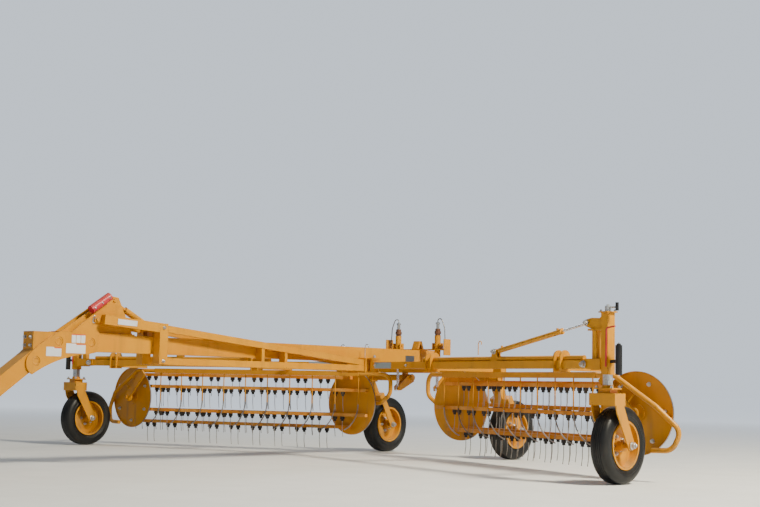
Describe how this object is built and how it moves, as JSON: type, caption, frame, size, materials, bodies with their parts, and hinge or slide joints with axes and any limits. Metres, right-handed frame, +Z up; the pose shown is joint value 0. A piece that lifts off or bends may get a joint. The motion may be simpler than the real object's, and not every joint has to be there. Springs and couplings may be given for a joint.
{
  "type": "towed twin basket rake",
  "caption": "Towed hay rake with a long goosenecked backbone, two wing arms on caster wheels, and a slanted basket of toothed bars between discs under each wing.",
  "frame": {"origin": "middle of the hitch pin's bore, in the clevis at the front of the tongue", "axes": "+X forward along the backbone, +Y to the machine's left, +Z up along the hitch pin"},
  "size_m": [7.3979, 8.59, 1.6483],
  "materials": {
    "yellow_paint": "semi-gloss",
    "faded_paint": "satin, sun-bleached",
    "tyre_rubber": "matte",
    "galvanised": "dull zinc",
    "cylinder_rod": "polished",
    "black_paint": "satin",
    "red_plastic": "gloss"
  },
  "bodies": {
    "main_frame": {"hitch_tube": "yellow_paint", "gooseneck_cheeks": "yellow_paint", "backbone": "yellow_paint", "gooseneck_mast": "yellow_paint", "document_tube": "red_plastic", "side_stays": "yellow_paint", "pivot_brackets": "yellow_paint", "rear_cross": "yellow_paint", "rear_towers": "yellow_paint"},
    "wing_left": {"wing_arm_left": "yellow_paint", "basket_frame_left": "yellow_paint", "drive_motor_left": "black_paint"},
    "lift_barrel_left": {"lift_barrel_left": "yellow_paint"},
    "lift_rod_left": {"lift_rod_left": "cylinder_rod"},
    "mast_left": {"front_mast_left": "yellow_paint", "caster_post_left": "galvanised", "mast_canister_left": "black_paint"},
    "caster_left": {"caster_fork_left": "yellow_paint"},
    "front_wheel_left": {"front_tyre_left": "tyre_rubber", "front_rim_left": "yellow_paint"},
    "reel_outer_left": {"outer_disc_left": "yellow_paint"},
    "reel_inner_left": {"inner_disc_left": "yellow_paint"},
    "rear_leg_left": {"rear_leg_left": "yellow_paint"},
    "rear_wheel_left": {"rear_tyre_left": "tyre_rubber", "rear_rim_left": "yellow_paint"},
    "rear_barrel_left": {"rear_barrel_left": "yellow_paint"},
    "rear_rod_left": {"rear_rod_left": "cylinder_rod"},
    "tooth_bar_left_1": {"tooth_bar_left_1": "faded_paint"},
    "tooth_bar_left_2": {"tooth_bar_left_2": "faded_paint"},
    "tooth_bar_left_3": {"tooth_bar_left_3": "faded_paint"},
    "tooth_bar_left_4": {"tooth_bar_left_4": "faded_paint"},
    "tooth_bar_left_5": {"tooth_bar_left_5": "faded_paint"},
    "tooth_bar_left_6": {"tooth_bar_left_6": "faded_paint"},
    "wing_right": {"wing_arm_right": "yellow_paint", "basket_frame_right": "yellow_paint", "drive_motor_right": "black_paint"},
    "lift_barrel_right": {"lift_barrel_right": "yellow_paint"},
    "lift_rod_right": {"lift_rod_right": "cylinder_rod"},
    "mast_right": {"front_mast_right": "yellow_paint", "caster_post_right": "galvanised", "mast_canister_right": "black_paint"},
    "caster_right": {"caster_fork_right": "yellow_paint"},
    "front_wheel_right": {"front_tyre_right": "tyre_rubber", "front_rim_right": "yellow_paint"},
    "reel_outer_right": {"outer_disc_right": "yellow_paint"},
    "reel_inner_right": {"inner_disc_right": "yellow_paint"},
    "rear_leg_right": {"rear_leg_right": "yellow_paint"},
    "rear_wheel_right": {"rear_tyre_right": "tyre_rubber", "rear_rim_right": "yellow_paint"},
    "rear_barrel_right": {"rear_barrel_right": "yellow_paint"},
    "rear_rod_right": {"rear_rod_right": "cylinder_rod"},
    "tooth_bar_right_1": {"tooth_bar_right_1": "faded_paint"},
    "tooth_bar_right_2": {"tooth_bar_right_2": "faded_paint"},
    "tooth_bar_right_3": {"tooth_bar_right_3": "faded_paint"},
    "tooth_bar_right_4": {"tooth_bar_right_4": "faded_paint"},
    "tooth_bar_right_5": {"tooth_bar_right_5": "faded_paint"},
    "tooth_bar_right_6": {"tooth_bar_right_6": "faded_paint"}
  },
  "joints": [
    {"name": "wing_fold_left", "type": "hinge", "parent": "main_frame", "child": "wing_left", "pos_m": [-5.41, 0.26, 0.62], "axis": [0, 0, -1], "range_deg": [0, 60]},
    {"name": "mast_tilt_left", "type": "hinge", "parent": "wing_left", "child": "mast_left", "pos_m": [-4.45578, 3.75881, 0.62], "axis": [0.9648, -0.2631, 0], "range_deg": [0, 12]},
    {"name": "lift_barrel_pivot_left", "type": "hinge", "parent": "wing_left", "child": "lift_barrel_left", "pos_m": [-4.81536, 2.44037, 0.75], "axis": [0.9648, -0.2631, 0], "range_deg": [0, 0.3]},
    {"name": "lift_rod_slide_left", "type": "slide", "parent": "lift_barrel_left", "child": "lift_rod_left", "axis": [-0.2591, -0.95, -0.1744], "range_m": [0, 0.0778]},
    {"name": "caster_swivel_left", "type": "hinge", "parent": "mast_left", "child": "caster_left", "pos_m": [-4.39, 4, 0.42], "axis": [0, 0, 1], "continuous": true},
    {"name": "front_wheel_spin_left", "type": "hinge", "parent": "caster_left", "child": "front_wheel_left", "pos_m": [-4.56, 4, -0.087], "axis": [0, 1, 0], "continuous": true},
    {"name": "reel_spin_left", "type": "hinge", "parent": "wing_left", "child": "reel_outer_left", "pos_m": [-5.16, 3.82, 0.185], "axis": [1, 0, 0], "continuous": true},
    {"name": "inner_disc_spin_left", "type": "hinge", "parent": "wing_left", "child": "reel_inner_left", "pos_m": [-6.22, 0.856, 0.185], "axis": [1, 0, 0], "continuous": true},
    {"name": "tooth_bar_left_1_pivot", "type": "hinge", "parent": "reel_outer_left", "child": "tooth_bar_left_1", "pos_m": [-5.16, 4.11927, 0.20593], "axis": [1, 0, 0], "continuous": true},
    {"name": "tooth_bar_left_2_pivot", "type": "hinge", "parent": "reel_outer_left", "child": "tooth_bar_left_2", "pos_m": [-5.16, 3.95151, 0.45464], "axis": [1, 0, 0], "continuous": true},
    {"name": "tooth_bar_left_3_pivot", "type": "hinge", "parent": "reel_outer_left", "child": "tooth_bar_left_3", "pos_m": [-5.16, 3.65224, 0.43371], "axis": [1, 0, 0], "continuous": true},
    {"name": "tooth_bar_left_4_pivot", "type": "hinge", "parent": "reel_outer_left", "child": "tooth_bar_left_4", "pos_m": [-5.16, 3.52073, 0.16407], "axis": [1, 0, 0], "continuous": true},
    {"name": "tooth_bar_left_5_pivot", "type": "hinge", "parent": "reel_outer_left", "child": "tooth_bar_left_5", "pos_m": [-5.16, 3.68849, -0.08464], "axis": [1, 0, 0], "continuous": true},
    {"name": "tooth_bar_left_6_pivot", "type": "hinge", "parent": "reel_outer_left", "child": "tooth_bar_left_6", "pos_m": [-5.16, 3.98776, -0.06371], "axis": [1, 0, 0], "continuous": true},
    {"name": "rear_leg_lift_left", "type": "hinge", "parent": "main_frame", "child": "rear_leg_left", "pos_m": [-6.66, 1, 0.5], "axis": [0, -1, 0], "range_deg": [0, 20]},
    {"name": "rear_wheel_spin_left", "type": "hinge", "parent": "rear_leg_left", "child": "rear_wheel_left", "pos_m": [-6.99, 1, -0.087], "axis": [0, 1, 0], "continuous": true},
    {"name": "rear_barrel_pivot_left", "type": "hinge", "parent": "main_frame", "child": "rear_barrel_left", "pos_m": [-6.45, 0.31, 0.88], "axis": [0, -1, 0], "range_deg": [0, 4.5]},
    {"name": "rear_rod_slide_left", "type": "slide", "parent": "rear_barrel_left", "child": "rear_rod_left", "axis": [0, 0, 1], "range_m": [0, 0.0785]},
    {"name": "wing_fold_right", "type": "hinge", "parent": "main_frame", "child": "wing_right", "pos_m": [-5.41, -0.26, 0.62], "axis": [0, 0, 1], "range_deg": [0, 60]},
    {"name": "mast_tilt_right", "type": "hinge", "parent": "wing_right", "child": "mast_right", "pos_m": [-4.45578, -3.75881, 0.62], "axis": [-0.9648, -0.2631, 0], "range_deg": [0, 12]},
    {"name": "lift_barrel_pivot_right", "type": "hinge", "parent": "wing_right", "child": "lift_barrel_right", "pos_m": [-4.81536, -2.44037, 0.75], "axis": [-0.9648, -0.2631, 0], "range_deg": [0, 0.3]},
    {"name": "lift_rod_slide_right", "type": "slide", "parent": "lift_barrel_right", "child": "lift_rod_right", "axis": [-0.2591, 0.95, -0.1744], "range_m": [0, 0.0778]},
    {"name": "caster_swivel_right", "type": "hinge", "parent": "mast_right", "child": "caster_right", "pos_m": [-4.39, -4, 0.42], "axis": [0, 0, 1], "continuous": true},
    {"name": "front_wheel_spin_right", "type": "hinge", "parent": "caster_right", "child": "front_wheel_right", "pos_m": [-4.56, -4, -0.087], "axis": [0, 1, 0], "continuous": true},
    {"name": "reel_spin_right", "type": "hinge", "parent": "wing_right", "child": "reel_outer_right", "pos_m": [-5.16, -3.82, 0.185], "axis": [1, 0, 0], "continuous": true},
    {"name": "inner_disc_spin_right", "type": "hinge", "parent": "wing_right", "child": "reel_inner_right", "pos_m": [-6.22, -0.856, 0.185], "axis": [1, 0, 0], "continuous": true},
    {"name": "tooth_bar_right_1_pivot", "type": "hinge", "parent": "reel_outer_right", "child": "tooth_bar_right_1", "pos_m": [-5.16, -4.07981, 0.335], "axis": [1, 0, 0], "continuous": true},
    {"name": "tooth_bar_right_2_pivot", "type": "hinge", "parent": "reel_outer_right", "child": "tooth_bar_right_2", "pos_m": [-5.16, -3.82, 0.485], "axis": [1, 0, 0], "continuous": true},
    {"name": "tooth_bar_right_3_pivot", "type": "hinge", "parent": "reel_outer_right", "child": "tooth_bar_right_3", "pos_m": [-5.16, -3.56019, 0.335], "axis": [1, 0, 0], "continuous": true},
    {"name": "tooth_bar_right_4_pivot", "type": "hinge", "parent": "reel_outer_right", "child": "tooth_bar_right_4", "pos_m": [-5.16, -3.56019, 0.035], "axis": [1, 0, 0], "continuous": true},
    {"name": "tooth_bar_right_5_pivot", "type": "hinge", "parent": "reel_outer_right", "child": "tooth_bar_right_5", "pos_m": [-5.16, -3.82, -0.115], "axis": [1, 0, 0], "continuous": true},
    {"name": "tooth_bar_right_6_pivot", "type": "hinge", "parent": "reel_outer_right", "child": "tooth_bar_right_6", "pos_m": [-5.16, -4.07981, 0.035], "axis": [1, 0, 0], "continuous": true},
    {"name": "rear_leg_lift_right", "type": "hinge", "parent": "main_frame", "child": "rear_leg_right", "pos_m": [-6.66, -1, 0.5], "axis": [0, -1, 0], "range_deg": [0, 20]},
    {"name": "rear_wheel_spin_right", "type": "hinge", "parent": "rear_leg_right", "child": "rear_wheel_right", "pos_m": [-6.99, -1, -0.087], "axis": [0, 1, 0], "continuous": true},
    {"name": "rear_barrel_pivot_right", "type": "hinge", "parent": "main_frame", "child": "rear_barrel_right", "pos_m": [-6.45, -0.31, 0.88], "axis": [0, -1, 0], "range_deg": [0, 4.5]},
    {"name": "rear_rod_slide_right", "type": "slide", "parent": "rear_barrel_right", "child": "rear_rod_right", "axis": [0, 0, 1], "range_m": [0, 0.0785]}
  ],
  "couplings": [
    {"joint": "inner_disc_spin_left", "follows": "reel_spin_left", "ratio": 1},
    {"joint": "tooth_bar_left_1_pivot", "follows": "reel_spin_left", "ratio": -1},
    {"joint": "tooth_bar_left_2_pivot", "follows": "reel_spin_left", "ratio": -1},
    {"joint": "tooth_bar_left_3_pivot", "follows": "reel_spin_left", "ratio": -1},
    {"joint": "tooth_bar_left_4_pivot", "follows": "reel_spin_left", "ratio": -1},
    {"joint": "tooth_bar_left_5_pivot", "follows": "reel_spin_left", "ratio": -1},
    {"joint": "tooth_bar_left_6_pivot", "follows": "reel_spin_left", "ratio": -1},
    {"joint": "lift_barrel_pivot_left", "follows": "mast_tilt_left", "ratio": 0.024},
    {"joint": "lift_rod_slide_left", "follows": "mast_tilt_left", "m_per_rad": 0.3703},
    {"joint": "rear_barrel_pivot_left", "follows": "rear_leg_lift_left", "ratio": 0.22},
    {"joint": "rear_rod_slide_left", "follows": "rear_leg_lift_left", "m_per_rad": 0.2225},
    {"joint": "inner_disc_spin_right", "follows": "reel_spin_right", "ratio": 1},
    {"joint": "tooth_bar_right_1_pivot", "follows": "reel_spin_right", "ratio": -1},
    {"joint": "tooth_bar_right_2_pivot", "follows": "reel_spin_right", "ratio": -1},
    {"joint": "tooth_bar_right_3_pivot", "follows": "reel_spin_right", "ratio": -1},
    {"joint": "tooth_bar_right_4_pivot", "follows": "reel_spin_right", "ratio": -1},
    {"joint": "tooth_bar_right_5_pivot", "follows": "reel_spin_right", "ratio": -1},
    {"joint": "tooth_bar_right_6_pivot", "follows": "reel_spin_right", "ratio": -1},
    {"joint": "lift_barrel_pivot_right", "follows": "mast_tilt_right", "ratio": 0.024},
    {"joint": "lift_rod_slide_right", "follows": "mast_tilt_right", "m_per_rad": 0.3703},
    {"joint": "rear_barrel_pivot_right", "follows": "rear_leg_lift_right", "ratio": 0.22},
    {"joint": "rear_rod_slide_right", "follows": "rear_leg_lift_right", "m_per_rad": 0.2225}
  ]
}
